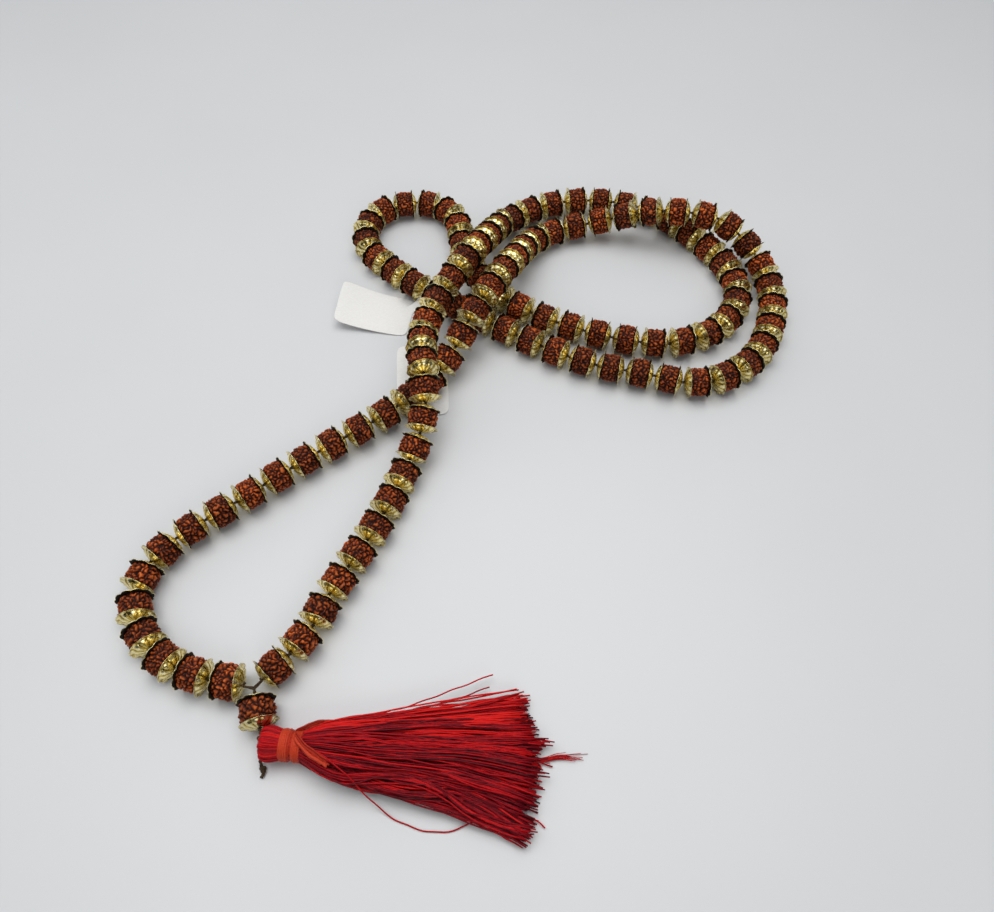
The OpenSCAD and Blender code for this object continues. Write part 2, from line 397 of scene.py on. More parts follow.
def smooth_path(points, count):
    """A Catmull-Rom curve through a few points, sampled evenly in its parameter."""
    p = np.asarray(points, float)
    p = np.vstack([2 * p[0] - p[1], p, 2 * p[-1] - p[-2]])
    spot = np.linspace(0, len(p) - 3 - 1e-9, count)
    i = spot.astype(int)
    t = (spot - i)[:, None]
    a, b, c, d = p[i], p[i + 1], p[i + 2], p[i + 3]
    return (2 * b + (c - a) * t + (2 * a - 5 * b + 4 * c - d) * t**2 + (3 * (b - c) - a + d) * t**3) / 2


# Beads

BEAD_LENGTH = 8.1 * MM  # hub to hub
PITCH = 9.04 * MM
SEED_AROUND = 112
SEED_ROWS = 34
SEED_HALF = 3.5 * MM
SEED_R = 4.62 * MM
SEED_POLE = 4.25 * MM  # where the seed's oval outline would close
SEED_LUMPS = 210
LUMP_TRIES = 8  # places tried for each lump, of which the loneliest is kept
LUMPS_JOINED = 3  # the most lumps that run together
OVAL = 2.6  # 2 would be round ends, more is squarer
FURROW_DEPTH = 0.85 * MM
FURROW_WIDTH = 0.85 * MM
RIPPLES = 4  # waves that bend the furrows
RIPPLE_SIZE = 0.11 * MM
SEED_CLEARANCE = 0.1 * MM  # between a seed and its caps
TINTS = [0.62, 0.85, 1.0, 1.2, 1.45]  # how bright a seed is, from old and dark to pale
TINT_SHARES = [0.12, 0.22, 0.33, 0.23, 0.1]
BEADS_IN_A_PIECE = 5

PETALS = 10
CAP_AROUND = 8 * PETALS
CAP_SHEET = 0.13 * MM
CAP_TILT = 0.045
PETAL_POWER = 0.8  # below 1 makes petals full and the creases between them sharp
PETAL_OUT = 0.35  # share of a petal's bulge that goes outwards
CAP_BOWL_ROWS = 9  # rows of the cap before its rim
# Large primes that spread neighbouring places over very different numbers
HASH_PRIMES = (73856093, 19349663, 83492791)
# Outside of a cap from hub to rim, in mm: radius, depth in from the hub, how far petals bulge out
# there, and how far the rim is notched between them
CAP_ROWS = np.array([
    (0.60, 0.00, 0.00, 0.00),
    (0.85, -0.16, 0.00, 0.00),
    (1.30, -0.08, 0.02, 0.00),
    (1.90, 0.16, 0.08, 0.00),
    (2.50, 0.40, 0.14, 0.00),
    (3.00, 0.64, 0.20, 0.00),
    (3.40, 0.92, 0.22, 0.00),
    (3.68, 1.20, 0.16, 0.02),
    (3.90, 1.40, 0.06, 0.05),
    (4.22, 1.46, 0.05, 0.10),
    (4.55, 1.42, 0.10, 0.18),
    (4.86, 1.30, 0.17, 0.28),
])


def solids_of(node):
    """The corner points of each separate solid of a CAD node."""
    mesh = frame["nodes"][node].data
    points = np.empty(len(mesh.vertices) * 3, np.float32)
    mesh.vertices.foreach_get("co", points)
    edges = np.empty(len(mesh.edges) * 2, np.int32)
    mesh.edges.foreach_get("vertices", edges)
    points = points.reshape(-1, 3).astype(float)
    kept, same = np.unique(np.round(points, 6), axis=0, return_inverse=True)
    a, b = same.ravel()[edges.reshape(-1, 2)].T
    label = np.arange(len(kept))
    while (label[a] != label[b]).any():
        low = np.minimum(label[a], label[b])
        np.minimum.at(label, a, low)
        np.minimum.at(label, b, low)
    first_seen = {}
    for at, k in enumerate(label[same.ravel()]):
        first_seen.setdefault(k, at)
    return [kept[label == k] for k in sorted(first_seen, key=first_seen.get)]


def beads_of(seeds, caps):
    """Centre and axis of each bead, from the CAD: the axis joins the middles of its two caps."""
    middles = np.array([solid.mean(0) for solid in solids_of(caps)])
    found = []
    for solid in solids_of(seeds):
        centre = solid.mean(0)
        near = np.argsort(np.linalg.norm(middles - centre, axis=1))[:2]
        found.append((centre, unit(middles[max(near)] - middles[min(near)])))
    return found


def bead_axes(axis, spin):
    """Rows are the bead's own X, Y and Z in the part's frame."""
    side = unit(np.cross(axis, UP))
    up = np.cross(axis, side)
    return np.array([
        math.cos(spin) * side + math.sin(spin) * up,
        math.cos(spin) * up - math.sin(spin) * side,
        axis,
    ])


def even_points(rng, count, radius, half):
    """Points spread evenly over a cylinder, each the best of a few tries."""
    chosen = np.empty((count, 3))
    for i in range(count):
        turn = rng.uniform(0, TAU, LUMP_TRIES)
        z = rng.uniform(-half, half, LUMP_TRIES)
        tries = np.stack([radius * np.cos(turn), radius * np.sin(turn), z], 1)
        gaps = np.linalg.norm(tries[:, None] - chosen[None, :i], axis=2)
        gaps = gaps.min(1) if i else np.zeros(LUMP_TRIES)
        chosen[i] = tries[gaps.argmax()]
    return chosen


def joined_lumps(rng, centres):
    """A label for each lump, with many of them run together in twos and threes."""
    label = np.arange(len(centres))
    gaps = np.linalg.norm(centres[:, None] - centres[None], axis=2)
    np.fill_diagonal(gaps, np.inf)
    for i in rng.permutation(len(centres)):
        near = gaps[i].argsort()[rng.integers(0, 3)]
        together = (label == label[i]).sum() + (label == label[near]).sum()
        if label[i] != label[near] and together <= LUMPS_JOINED and rng.random() < 0.8:
            label[label == label[near]] = label[i]
    return label


def seed_shape(rng):
    """Points of a furrowed seed, row by row, then its two end points; how high each lies, and its shade."""
    z = np.linspace(-SEED_HALF, SEED_HALF, SEED_ROWS)
    turn = np.arange(SEED_AROUND) / SEED_AROUND * TAU
    z, turn = (grid.ravel() for grid in np.meshgrid(z, turn, indexing="ij"))
    flat = np.stack([SEED_R * np.cos(turn), SEED_R * np.sin(turn), z], 1)
    for _ in range(RIPPLES):
        ripple = rng.normal(0, 2.2 / MM, (3, 3))
        flat = flat + RIPPLE_SIZE * np.sin(flat @ ripple + rng.uniform(0, TAU, 3))
    centres = even_points(rng, SEED_LUMPS, SEED_R, SEED_HALF)
    label = joined_lumps(rng, centres)
    gaps = np.linalg.norm(flat[:, None] - centres[None], axis=2)
    own = label[gaps.argmin(1)]
    nearest = gaps.min(1)
    other = np.where(label[None] == own[:, None], np.inf, gaps).min(1)
    # ridge is 0 in a furrow and 1 on a lump's top; the seed material darkens the furrows with it as painted shade
    # and lightens the tops as a painted highlight.
    ridge = np.sin(np.clip((other - nearest) / FURROW_WIDTH, 0, 1) * math.pi / 2) ** 1.15
    height = rng.uniform(-0.26, 0.12, SEED_LUMPS)[own] * MM
    shade = rng.uniform(0.72, 1.22, SEED_LUMPS)[own]
    oval = (1 - np.abs(z / SEED_POLE) ** OVAL) ** (1 / OVAL)
    lean = 1 + 0.03 * np.cos(2 * turn + rng.uniform(0, TAU))
    full = SEED_R * lean * rng.uniform(0.95, 1.0)
    radius = (full - FURROW_DEPTH * (1 - ridge) + height * ridge) * oval
    cap_inside = BEAD_LENGTH / 2 - (CAP_ROWS[:, 1] - CAP_ROWS[:, 2] * 0.3) * MM - 2 * CAP_SHEET
    bowl_depth = cap_inside[:CAP_BOWL_ROWS][::-1]
    bowl_r = CAP_ROWS[:CAP_BOWL_ROWS][::-1, 0] * MM
    room = np.interp(np.abs(z), bowl_depth, bowl_r, left=SEED_R * 1.1) - SEED_CLEARANCE
    radius = np.minimum(radius, room)
    points = np.stack([radius * np.cos(turn), radius * np.sin(turn), z], 1)
    ends = [[0, 0, -SEED_HALF], [0, 0, SEED_HALF]]
    return np.vstack([points, ends]), np.append(ridge, [0, 0]), np.append(shade, [1, 1])


def seed_faces():
    """Quads for the side, and the triangles that close the two ends."""
    side = bands(SEED_ROWS, SEED_AROUND).tolist()
    here = np.arange(SEED_AROUND)
    after = (here + 1) % SEED_AROUND
    top = here + (SEED_ROWS - 1) * SEED_AROUND
    top_after = after + (SEED_ROWS - 1) * SEED_AROUND
    low_end = SEED_ROWS * SEED_AROUND
    low = np.stack([after, here, np.full(SEED_AROUND, low_end)], 1).tolist()
    high = np.stack([top, top_after, np.full(SEED_AROUND, low_end + 1)], 1).tolist()
    return side, low + high


def cap_shape(rng):
    """Points of a fluted cap at the bead's top end, outside from hub to rim and back inside."""
    turn = np.arange(CAP_AROUND) / CAP_AROUND * TAU
    petal = np.abs(np.cos(turn * PETALS / 2)) ** PETAL_POWER
    warp = sum(rng.normal(0, 0.10 / m) * np.cos(m * turn + rng.uniform(0, TAU)) for m in (1, 2, 3, 4))
    outside = []
    for radius, depth, bulge, notch in CAP_ROWS:
        reach = (radius / CAP_ROWS[-1][0]) ** 2
        r = radius - notch * (1 - petal) + PETAL_OUT * bulge * petal
        height = BEAD_LENGTH / 2 / MM - depth + bulge * petal + warp * reach
        outside.append(np.stack([r * np.cos(turn), r * np.sin(turn), height], 1) * MM)
    outside = np.array(outside)
    rim = outside[-1] * (1.006, 1.006, 1) - (0, 0, CAP_SHEET / 2)
    inside = outside - (0, 0, CAP_SHEET)
    inside[:, :, :2] *= 0.99
    points = np.concatenate([inside, rim[None], outside[::-1]])
    # ridge is 0 in a crease and 1 on a petal, kept high on the flat hub rows and the rim; the gilt uses it for
    # painted shade in the creases and a painted highlight on the petals.
    crest = np.array([0.9 if row[2] < 0.02 else 0.0 for row in CAP_ROWS])[:, None]
    ridge = np.maximum(np.broadcast_to(petal, (len(CAP_ROWS), CAP_AROUND)), crest)
    values = np.concatenate([ridge, np.ones((1, CAP_AROUND)), ridge[::-1]])
    return points.reshape(-1, 3), values.ravel()


def cap_faces():
    """Faces of a cap, and for each the material: 0 for the gilt outside, 1 for the inside, painted nearly black as
    shade.
    """
    rows = 2 * len(CAP_ROWS) + 1
    row_of_face = np.repeat(np.arange(rows), CAP_AROUND)
    # The inside rows get the near-black painted-shade material.
    shaded_inside = (row_of_face < len(CAP_ROWS) - 1).astype(int)
    return bands(rows, CAP_AROUND, looped=True), shaded_inside


def tilted(rng, most):
    """A small random turn away from the bead's axis."""
    x, y = rng.normal(0, most / 2, 2)
    return np.array([[1, 0, y], [0, 1, -x], [-y, x, 1]])


def make_beads(seeds, caps, materials):
    """Every bead of a CAD group: furrowed seeds and fluted caps, a few beads to a piece."""
    side_faces, end_faces = seed_faces()
    cap_quads, cap_slots = cap_faces()
    half_turn = np.diag([1, -1, -1])
    group = beads_of(seeds, caps)
    body = BODY_OF[seeds]
    for start in range(0, len(group), BEADS_IN_A_PIECE):
        seed_piece, cap_piece = Shape(), Shape()
        for centre, axis in group[start : start + BEADS_IN_A_PIECE]:
            rng = np.random.default_rng(abs(hash_of(centre)))
            points, ridge, shade = seed_shape(rng)
            tint = rng.choice(TINTS, p=TINT_SHARES)
            placed = points @ bead_axes(axis, rng.uniform(0, TAU)) + centre
            seed_piece.add(placed, side_faces, ridge=ridge, tint=tint * shade)
            seed_piece.close(np.array(end_faces) + seed_piece.count - len(points))
            for flip in (np.eye(3), half_turn):
                points, ridge = cap_shape(rng)
                leaning = points @ tilted(rng, CAP_TILT) @ flip
                placed = leaning @ bead_axes(axis, rng.uniform(0, TAU)) + centre
                cap_piece.add(placed, cap_quads, cap_slots, ridge=ridge, tint=rng.uniform(0.85, 1.08))
        number = start // BEADS_IN_A_PIECE + 1
        finish_piece(seed_piece.piece(f"{seeds}_{number}", materials[:1]), body, seeds)
        finish_piece(cap_piece.piece(f"{caps}_{number}", materials[1:]), body, caps)


def hash_of(point):
    """A whole number that belongs to a place, so that each bead is always made the same."""
    x, y, z = (int(round(v / MM * 10)) * prime for v, prime in zip(point, HASH_PRIMES))
    return x ^ y ^ z


# String: two plies twisted together, held by the beads

STRING_R = 0.45 * MM
PLY_R = 0.26 * MM
PLIES = 2
TURNS_IN_A_BEAD = 3
# The tail beside the tassel head, in the tassel's frame in mm, and where its small knot is
STRING_TAIL = [(0.5, -1.2, 3.4), (0.1, -3.6, 2.6), (0.4, -5.2, 1.1), (1.3, -6.4, 0.7), (0.9, -7.8, 0.6)]
TAIL_KNOT = (0.85, -5.9, 0.85)


def twist(points, turns):
    """The centre lines of the plies of a twisted cord along a path."""
    points = np.asarray(points, float)
    side = unit(np.cross(unit(np.gradient(points, axis=0)), UP))
    up = np.cross(unit(np.gradient(points, axis=0)), side)
    spin = np.linspace(0, turns * TAU, len(points))[:, None]
    offset = STRING_R - PLY_R
    starts = np.arange(PLIES) * TAU / PLIES
    return np.array([points + offset * (np.cos(spin + a) * side + np.sin(spin + a) * up) for a in starts])


def make_string(node, seeds, caps, material):
    """The string of one group of beads, straight through each bead, and on to the guru from its two ends."""
    shape = Shape()
    group = beads_of(seeds, caps)
    for centre, axis in group:
        run = np.linspace(-0.5, 0.5, 28)[:, None] * PITCH * axis + centre
        add_tubes(shape, twist(run, TURNS_IN_A_BEAD), PLY_R, UP, 6)
    if node == "string_front_end":
        meet = np.array(JOINTS["guru_swing"]["pos_m"])
        for (centre, axis), way in ((group[0], -1), (group[-1], 1)):
            end = centre + way * axis * PITCH / 2
            before = centre + way * axis * PITCH / 4
            path = smooth_path([before, end, (end + meet) / 2 + way * axis * 0.3 * MM, meet], 24)
            add_tubes(shape, twist(path, 2), PLY_R, UP, 6)
    finish_piece(shape.piece(node + "_twist", [material]), BODY_OF[node], node)


def make_guru_string(material):
    """The twisted cord through the guru bead, its knot, and the short tail beside the tassel."""
    top = np.array(JOINTS["guru_swing"]["pos_m"])
    foot = np.array(JOINTS["tassel_swing"]["pos_m"])
    cord = Shape()
    add_tubes(cord, twist(np.linspace(top, foot, 60), 5), PLY_R, UP, 6)
    finish_piece(cord.piece("string_guru_twist", [material]), "guru_cord", "string_guru")

    knot = Shape()
    t = np.linspace(0, TAU, 90)
    trefoil = np.stack([np.sin(t) + 2 * np.sin(2 * t), np.cos(t) - 2 * np.cos(2 * t), -np.sin(3 * t)], 1)
    add_tubes(knot, [trefoil * 0.27 * MM + foot], 0.36 * MM, trefoil[None], 8)
    finish_piece(knot.piece("knot_guru_coils", [material]), "guru_cord", "knot_guru")

    tail = Shape()
    path = from_tassel(smooth_path(STRING_TAIL, 48))
    add_tubes(tail, twist(path, 4), PLY_R, TASSEL_WAY, 6)
    coils = trefoil * (0.22, 0.22, 0.3) * MM + from_tassel(TAIL_KNOT)
    add_tubes(tail, [coils], 0.28 * MM, trefoil[None], 8)
    finish_piece(tail.piece("tassel_string_tail", [material]), "tassel_head", "tassel_string_end")


# Tassel

THREADS = 640
THREAD_R = 0.21
CLUMPS = 64
THREAD_RINGS = 20
SKIRT_LENGTH = 56.0
# Distance past the neck, near edge, far edge, height of the middle and half the depth of the skirt, in mm
SKIRT = np.array([
    (-3.0, -3.7, 2.3, 4.4, 3.0),
    (0.0, -3.9, 2.5, 4.4, 3.2),
    (6.0, -6.6, 5.5, 4.3, 4.0),
    (14.0, -8.9, 8.2, 4.1, 4.0),
    (23.0, -10.4, 10.2, 3.8, 3.6),
    (37.0, -12.0, 13.2, 2.9, 2.7),
    (47.0, -15.6, 16.4, 2.3, 2.2),
    (58.0, -20.6, 20.0, 1.8, 1.7),
])
# Single threads that have come away from the skirt, in the tassel's frame in mm
STRAYS = [
    [(9, 1, 7), (16, 4.2, 6.2), (24, 7.3, 5.2), (33, 10.8, 4), (43, 15.8, 3.2), (53.4, 21.2, 2.6)],
    [(9, 1, 7), (24, 6.5, 5.2), (38, 11.6, 3.4), (46, 14.8, 2.4), (52.8, 18.2, 1.8)],
    [(12, 0, 7), (30, 7, 5.5), (48, 12, 3.6), (55, 14.6, 3.2), (61.4, 17.6, 2.8)],
    [(12, -1.6, 8.6), (18, -4.2, 8.3), (23, -7.4, 6.8), (27.5, -10.6, 3.4), (31.5, -13.0, 0.7),
     (36, -14.9, 0.3), (42, -16.0, 0.3), (47, -15.4, 0.3), (53.5, -12.4, 0.8)],
    [(14, 3, 7), (30, 8.5, 5), (46, 13, 3), (58, 16.5, 1.6), (63, 17.2, 1)],
    [(20, 0, 6.5), (40, 1.5, 4.5), (58, 1.2, 2.4), (65, 1.6, 1.2), (69.5, 0.8, 0.5)],
    [(20, -4, 6.5), (40, -7.5, 4.2), (58, -10.5, 2.2), (66, -11.5, 1), (68.5, -12.8, 0.5)],
]


# The fuzzy end that reaches past the skirt, in the same frame as everything below
FRAYED_END = [(52, 3, 2.4), (60, 4.8, 1.8), (65.5, 1.8, 1), (71, 3.0, 0.7), (77.5, 3.2, 0.6)]
FRAYED_HAIRS = 34
FRAYED_RINGS = 30
HAIR_R = 0.07 * MM
# Side outline of the head's threads: along the tassel, and out from its middle
HEAD_OUTLINE = np.array([
    (7.5, 3.0), (5.6, 3.15), (4.2, 3.5), (2.8, 3.9), (1.6, 4.0), (0.7, 3.55), (0.35, 2.8), (0.4, 1.7),
    (0.9, 0.5),
])
HEAD_LAYERS = [66, 60]  # threads in the outer and the inner layer
# Where each winding of the binding starts and stops, and how far it stands out; the raised windings are also
# painted lighter and the base one darker, as painted shade.
WINDINGS = [(4.9, 10.4, 0.0), (5.1, 7.1, 0.22), (8.1, 10.1, 0.22)]
WINDING_PITCH = 0.40
WINDING_R = 3.38
WAIST_AT, WAIST_DEPTH, WAIST_WIDTH = 7.6, 0.16, 0.5
# Loose ends of the binding: a long tail over the skirt, and a short puff beside it
BINDING_TAIL = np.array([
    (8.8, 0.6, 8.0), (10.2, -0.9, 8.35), (12.4, -2.6, 8.6), (15.0, -4.0, 8.1), (17.8, -5.2, 7.2),
])
BINDING_PUFF = np.array([(8.6, 2.2, 6.6), (10.8, 3.6, 6.6), (13.2, 4.8, 6.2), (16.4, 5.5, 5.4)])
TAIL_HAIRS, TAIL_RINGS = 26, 26
PUFF_HAIRS, PUFF_RINGS = 20, 24


def disc_points(count):
    """Points spread evenly over a round disc of radius 1."""
    k = np.arange(count)
    r, turn = np.sqrt((k + 0.5) / count), k * math.pi * (3 - math.sqrt(5))
    return np.stack([r * np.cos(turn), r * np.sin(turn)], 1)


def skirt_paths(rng):
    """The centre line of each thread of the skirt, in mm, and its shade."""
    start = disc_points(THREADS) + rng.normal(0, 0.02, (THREADS, 2))
    centres = disc_points(CLUMPS) * 0.96 + rng.normal(0, 0.05, (CLUMPS, 2))
    clump = np.linalg.norm(start[:, None] - centres[None], axis=2).argmin(1)
    end = start * 0.38 + centres[clump] * 0.62 + rng.normal(0, 0.045, (THREADS, 2))
    along = np.linspace(0, 1, THREAD_RINGS)[None, :, None]
    gather = np.clip(1.6 * along, 0, 1) ** 1.5
    place = start[:, None] * (1 - gather) + end[:, None] * gather
    length = SKIRT_LENGTH + rng.normal(0, 1.0, CLUMPS)[clump] + rng.normal(0, 0.9, THREADS)
    length *= 1 - 0.04 * end[:, 0] ** 2 - 0.05 * np.clip(end[:, 0], 0, 1)
    past_neck = -2.5 + along[:, :, 0] * (length[:, None] + 2.5)
    near, far, middle, half_depth = (np.interp(past_neck, SKIRT[:, 0], SKIRT[:, k]) for k in (1, 2, 3, 4))

    def wave(size, period, count, pick):
        phase, stretch = rng.uniform(0, TAU, count)[pick], rng.uniform(0.7, 1.4, count)[pick]
        swing = rng.normal(0, size, count)[pick]
        bend = np.sin(past_neck / period * stretch[:, None] * TAU + phase[:, None])
        return swing[:, None] * bend * np.clip(past_neck / 12, 0, 1)

    each = np.arange(THREADS)
    y = (near + far) / 2 + place[:, :, 0] * (far - near) / 2
    y += wave(0.65, 42, CLUMPS, clump) + wave(0.20, 17, THREADS, each)
    z = middle + place[:, :, 1] * half_depth
    z += wave(0.45, 35, CLUMPS, clump) + wave(0.14, 15, THREADS, each)
    z = np.maximum(z, THREAD_R + rng.uniform(0, 0.5, THREADS)[:, None] * np.clip(past_neck / 20, 0, 1))
    # Threads high in the bundle are lighter and low ones darker: painted light and shade. They are also lighter
    # towards the far edge, and the random terms give each clump and thread a tone of its own.
    shade = 0.43 + 0.18 * start[:, 1] + 0.12 * start[:, 0]
    shade += rng.normal(0, 0.20, CLUMPS)[clump] + rng.normal(0, 0.15, THREADS)
    return np.stack([NECK[0] + past_neck, y, z], -1), np.clip(shade, 0.05, 1)


def add_strays(shape, rng):
    """Adds the single threads that have come away."""
    for route in STRAYS:
        path = smooth_path(route, 44)
        path[:, 1] += 0.12 * np.sin(path[:, 0] * 0.9)
        shade = rng.uniform(0.5, 0.8)
        add_tubes(shape, [from_tassel(path)], 0.9 * THREAD_R * MM, UP, 5, shade=shade)


def add_frayed_end(shape, rng):
    """Adds the fuzzy end: curled hairs of uneven length that spread as they go."""
    frayed = smooth_path(FRAYED_END, FRAYED_RINGS)
    along = np.linspace(0, 1, FRAYED_RINGS)
    for _ in range(FRAYED_HAIRS):
        spread = rng.normal(0, 1.0, 3) * (0.4, 1, 0.3)
        size = rng.normal(0, 0.26)
        curl = size * np.sin(np.linspace(0, rng.uniform(9, 16), FRAYED_RINGS) + rng.uniform(0, TAU))
        hair = frayed + along[:, None] ** 2 * spread
        hair[:, 1] += curl * np.linspace(0.2, 1, FRAYED_RINGS)
        hair[:, 2] = np.maximum(hair[:, 2], 0.15)
        stop = rng.integers(20, FRAYED_RINGS + 1)
        add_tubes(shape, [from_tassel(hair[:stop])], HAIR_R, UP, 4, shade=rng.uniform(0.5, 0.9))


def make_skirt(material):
    """The hanging threads of the tassel, the strays and the frayed end."""
    rng = np.random.default_rng(11)
    shape = Shape()
    paths, shade = skirt_paths(rng)
    taper = np.append(np.ones(THREAD_RINGS - 1), 0.8)
    add_tubes(shape, from_tassel(paths), THREAD_R * MM * taper, UP, 5, shade=shade)
    add_strays(shape, rng)
    add_frayed_end(shape, rng)
    bend_with_skirt(shape.piece("tassel_threads", [material]), "tassel_skirt")


def bend_with_skirt(obj, node):
    """Bakes the piece's transform into its points and hides the CAD node it replaces."""
    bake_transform(obj)
    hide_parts(node)


def make_head(material):
    """Threads folded over the end of the tassel, like a brush with a rounded end."""
    rng = np.random.default_rng(12)
    shape = Shape()
    for layer, count in enumerate(HEAD_LAYERS):
        for k in range(count):
            turn = (k + rng.uniform(-0.3, 0.3)) / count * TAU
            x, r = (HEAD_OUTLINE + rng.normal(0, (0.14, 0.10), 2)).T
            r = r - 0.32 * layer
            x = x + 0.35 * layer
            route = np.stack([x, AXIS_Y + r * np.cos(turn), AXIS_Z + r * np.sin(turn)], 1)
            path = smooth_path(route, 26)
            across = np.array([0, -math.sin(turn), math.cos(turn)]) @ TASSEL_AXES
            # The inner layer, lying under the outer one, is darker: painted shade; the random term is each
            # thread's own tone.
            shade = 0.62 - 0.3 * layer + rng.normal(0, 0.12)
            add_tubes(shape, [from_tassel(path)], 0.26 * MM, across, 6, shade=np.clip(shade, 0.05, 1))
    finish_piece(shape.piece("tassel_head_threads", [material]), "tassel_head", "tassel_head")


def make_binding_wraps(material):
    """Wound thread round the neck, in two bands with a waist between them."""
    shape = Shape()
    for first, last, lift in WINDINGS:
        turns = (last - first) / WINDING_PITCH
        t = np.linspace(0, 1, int(turns * 30))
        waist = -WAIST_DEPTH * np.exp(-(((first + (last - first) * t) - WAIST_AT) / WAIST_WIDTH) ** 2)
        wobble = 0.06 * np.sin(t * turns * 2.3 + lift * 20)
        r = WINDING_R + lift + waist + wobble
        x = first + (last - first) * t
        x += 0.10 * np.sin(t * turns * TAU + 1.0)
        x += 0.06 * np.sin(t * turns * 1.7)
        wound = np.stack([x, AXIS_Y + r * np.cos(t * turns * TAU), AXIS_Z + r * np.sin(t * turns * TAU)], 1)
        # Shade grows with lift, so the base winding under and between the raised bands is darker: painted shade.
        add_tubes(shape, [from_tassel(wound)], 0.25 * MM, TASSEL_WAY, 6, shade=0.55 + lift)
    finish_piece(shape.piece("tassel_binding_wraps", [material]), "tassel_head", "tassel_binding")


def make_binding_ends(material):
    """The loose ends of the binding thread, each hair wavy and of its own length."""
    rng = np.random.default_rng(13)
    shape = Shape()
    for _ in range(TAIL_HAIRS):
        side, lift = rng.normal(0, 0.55), abs(rng.normal(0, 0.25))
        path = smooth_path(BINDING_TAIL + (0, side, lift), TAIL_RINGS)
        path[:, 1] += 0.10 * np.sin(np.linspace(0, 14, TAIL_RINGS) + rng.uniform(0, TAU))
        stop = rng.integers(19, TAIL_RINGS + 1)
        add_tubes(shape, [from_tassel(path[:stop])], 0.22 * MM, UP, 5, shade=rng.uniform(0.4, 0.8))
    for _ in range(PUFF_HAIRS):
        path = smooth_path(BINDING_PUFF + rng.normal(0, 0.26, 3), PUFF_RINGS)
        path[:, 1] += 0.10 * np.sin(np.linspace(0, 9, PUFF_RINGS) + rng.uniform(0, TAU))
        stop = rng.integers(17, PUFF_RINGS + 1)
        add_tubes(shape, [from_tassel(path[:stop])], 0.19 * MM, UP, 4, shade=rng.uniform(0.2, 0.7))
    bend_with_skirt(shape.piece("tassel_binding_ends", [material]), "tassel_binding")


# Paper tag

PAPER = 0.24 * MM
CARD_AROUND = 120
# A card from the middle of its under side, out round its edge and back over the top: share of its
# size, and share of its thickness
CARD_ROWS = [
    (0.02, 0), (0.35, 0), (0.7, 0), (0.985, 0), (1, 0.2),
    (1, 0.8), (0.985, 1), (0.7, 1), (0.35, 1), (0.02, 1),
]
# Section of a paper strip with softened edges, as shares of half its width and half its thickness
STRIP_EDGES = [
    (-1, -0.4), (-0.92, -1), (0.92, -1), (1, -0.4),
    (1, 0.4), (0.92, 1), (-0.92, 1), (-1, 0.4),
]
# Length and width of each card, and how far its free end is lifted
FRONT_CARD, FRONT_LIFT = (24 * MM, 16 * MM), 5.0 * MM
BACK_CARD, BACK_LIFT = (28 * MM, 16 * MM), 0.2 * MM
# Where the strip folds: away from the string, and below it
FOLD_OUT, FOLD_DROP = 3.6 * MM, 3.0 * MM
BAND_R = 0.68 * MM


def rounded_outline(length, width, count):
    """Evenly spaced points round an oblong with rounded corners."""
    turn = np.linspace(0, TAU, 4000)
    fine = np.stack([np.cos(turn) * length, np.sin(turn) * width], 1) / 2
    fine = np.sign(fine) * np.abs(fine / (length / 2, width / 2)) ** 0.2 * (length / 2, width / 2)
    travelled = np.append(0, np.cumsum(np.linalg.norm(np.diff(fine, axis=0), axis=1)))
    even = np.arange(count) / count * travelled[-1]
    return np.stack([np.interp(even, travelled, fine[:, k]) for k in (0, 1)], 1)


def make_card(name, node, centre, turn, size, lift, material):
    """A thin card whose far end is lifted a little from what it lies on."""
    shape = Shape()
    outline = rounded_outline(*size, CARD_AROUND)
    rows = []
    for scale, top in CARD_ROWS:
        flat = outline * scale
        away = 0.5 - flat[:, 0] / size[0]
        across = flat[:, 1] / size[1]
        z = 0.06 * MM + lift * away**2 * (1 + 0.5 * across) + top * PAPER
        rows.append(np.column_stack([flat, z]))
    way = np.array([[math.cos(turn), math.sin(turn), 0], [-math.sin(turn), math.cos(turn), 0], UP])
    points = np.concatenate(rows) @ way + centre
    shape.add(points, bands(len(rows), CARD_AROUND))
    ring = np.arange(CARD_AROUND)
    shape.close([ring[::-1], ring + (len(rows) - 1) * CARD_AROUND])
    finish_piece(shape.piece(name, [material]), BODY_OF[node], node)


def add_ribbon(shape, path, widths, across):
    """A strip of paper along a path; across gives the way it is wide at each point."""
    path = np.asarray(path, float)
    widths = np.linspace(*widths, len(path))[:, None]
    across = unit(np.broadcast_to(np.asarray(across, float), path.shape))
    normal = unit(np.cross(unit(np.gradient(path, axis=0)), across))
    rows = [path + a * across * widths / 2 + b * normal * PAPER / 2 for a, b in STRIP_EDGES]
    ring = np.arange(len(STRIP_EDGES)) + shape.count
    shape.add(np.stack(rows, 1), bands(len(path), len(STRIP_EDGES)))
    shape.close([ring[::-1], ring + (len(path) - 1) * len(STRIP_EDGES)])


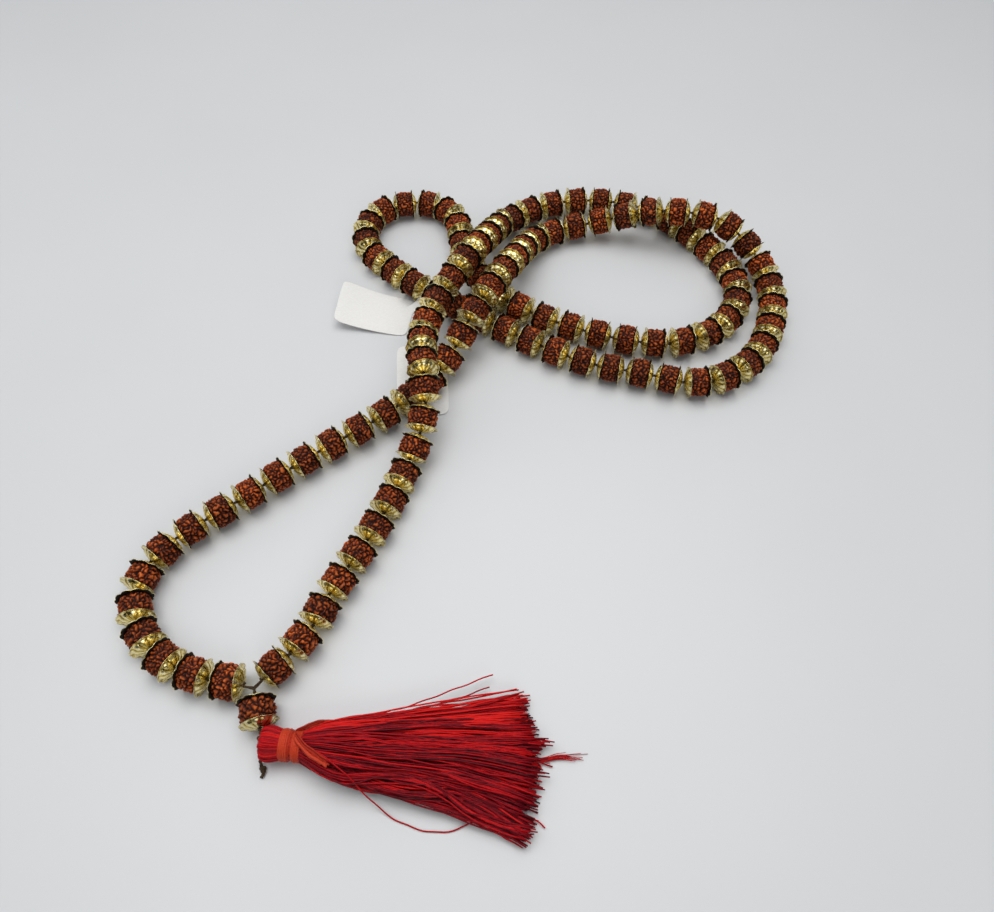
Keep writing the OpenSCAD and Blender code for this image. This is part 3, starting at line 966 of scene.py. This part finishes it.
def make_tag(material):
    """The folded tag: two blank cards on narrow strips that pass round the string."""
    loop = np.array(JOINTS["tag_lift"]["pos_m"])
    along = np.array(JOINTS["tag_lift"]["axis"])
    hang = np.cross(UP, along)
    fold = loop + FOLD_OUT * hang - (0, 0, FOLD_DROP)
    front_at, front_turn = np.array([-38.3, 54.6, 0]) * MM, math.radians(-9)
    back_at, back_turn = np.array([-21.5, 27, 0]) * MM, math.radians(-86)
    make_card("tag_front_card", "tag_front", front_at, front_turn, FRONT_CARD, FRONT_LIFT, material)
    make_card("tag_back_card", "tag_back", back_at, back_turn + math.pi, BACK_CARD, BACK_LIFT, material)

    front = Shape()
    end = loop + 1.0 * MM * hang - (0, 0, 0.2 * MM)
    route = [np.array([-30, 55.0, -0.1]) * MM, np.array([-26.5, 56.6, 0.4]) * MM, fold, end]
    add_ribbon(front, smooth_path(route, 24), (4.4 * MM, 2.8 * MM), -along)
    finish_piece(front.piece("tag_front_strip", [material]), "tag_front", "tag_front")

    back = Shape()
    route = np.array([(-24, 39, 0.3), (-24, 46, 0.25), (-23.6, 52, 0.3), (-23.4, 56, 0.5)]) * MM
    add_ribbon(back, smooth_path(route, 16), (2.4 * MM, 1.6 * MM), (1, 0, 0))
    finish_piece(back.piece("tag_back_strip", [material]), "core", "tag_back")

    band = Shape()
    turn = np.linspace(0, TAU, 33)[:, None]
    ring = loop + BAND_R * (np.cos(turn) * hang + np.sin(turn) * np.array(UP))
    add_ribbon(band, ring, (0.9 * MM, 0.9 * MM), along)
    finish_piece(band.piece("tag_band", [material]), "core", "tag_loop")


# Lights and surroundings


def make_world():
    """A room that is bright overhead and behind the object, and dark on the side the camera stands.

    The camera itself sees a plain grey behind the floor instead.
    """
    world = bpy.data.worlds.new("studio")
    world.use_nodes = True
    bpy.context.scene.world = world
    tree = world.node_tree
    coordinates = tree.nodes.new("ShaderNodeTexCoord")
    towards = tree.nodes.new("ShaderNodeVectorMath")
    towards.operation = "DOT_PRODUCT"
    towards.inputs[1].default_value = (0.05, 0.50, 0.86)
    ramp = tree.nodes.new("ShaderNodeValToRGB")
    stops = [
        (0.0, (0.02, 0.02, 0.022)),
        (0.3, (0.05, 0.052, 0.055)),
        (0.62, (0.50, 0.52, 0.55)),
        (1.0, (1.0, 1.0, 1.0)),
    ]
    set_stops(ramp, stops)
    tree.links.new(coordinates.outputs["Generated"], towards.inputs[0])
    tree.links.new(towards.outputs["Value"], ramp.inputs["Fac"])
    backdrop = tree.nodes.new("ShaderNodeMix")
    backdrop.data_type = "RGBA"
    backdrop.inputs["B"].default_value = (0.30, 0.303, 0.308, 1)
    background = tree.nodes["Background"]
    background.inputs["Strength"].default_value = 0.6
    rays = tree.nodes.new("ShaderNodeLightPath")
    tree.links.new(rays.outputs["Is Camera Ray"], backdrop.inputs["Factor"])
    tree.links.new(ramp.outputs["Color"], backdrop.inputs["A"])
    tree.links.new(backdrop.outputs["Result"], background.inputs["Color"])


def make_light(name, place, size, power, colour=(1, 1, 1)):
    """A soft rectangular light that points at the object's origin."""
    data = bpy.data.lights.new(name, "AREA")
    data.shape = "RECTANGLE"
    data.size, data.size_y = size
    data.energy = power
    data.color = colour
    light = bpy.data.objects.new(name, data)
    light.location = place
    light.rotation_euler = (-Vector(place)).to_track_quat("-Z", "Y").to_euler()
    bpy.context.scene.collection.objects.link(light)


def make_floor():
    """A wide flat floor at the height that the object lies on."""
    shape = Shape()
    reach = 4.0
    corners = [(-reach, -reach, 0), (reach, -reach, 0), (reach, reach, 0), (-reach, reach, 0)]
    shape.add(corners, [(0, 1, 2, 3)])
    floor = shape.piece("floor", [floor_material()])


# The scene

bpy.context.scene.view_settings.view_transform = "Standard"
make_camera()
make_floor()
make_world()
make_light("top_softbox", (-0.04, 0.10, 0.62), (0.7, 0.5), 2.95)
make_light("left_softbox", (-0.7, 0.05, 0.45), (0.5, 0.5), 0.8, (0.97, 0.985, 1.0))
make_light("front_fill", (0.2, -0.65, 0.5), (0.5, 0.35), 1.3, (1.0, 0.985, 0.96))

bead_materials = [seed_material(), gilt_material(), cap_shaded_inside_material()]
cord = string_material()
for seeds in sorted(node for node in frame["nodes"] if node.startswith("seed")):
    caps = seeds.replace("seeds_", "caps_").replace("seed_", "caps_")
    make_beads(seeds, caps, bead_materials)
    if seeds != "seed_guru":
        make_string(seeds.replace("seeds_", "string_"), seeds, caps, cord)
make_guru_string(cord)
threads = thread_material("thread", THREAD_SHADES)
make_skirt(threads)
make_head(threads)
binding = thread_material("binding", BINDING_SHADES)
make_binding_wraps(binding)
make_binding_ends(binding)
make_tag(paper_material())
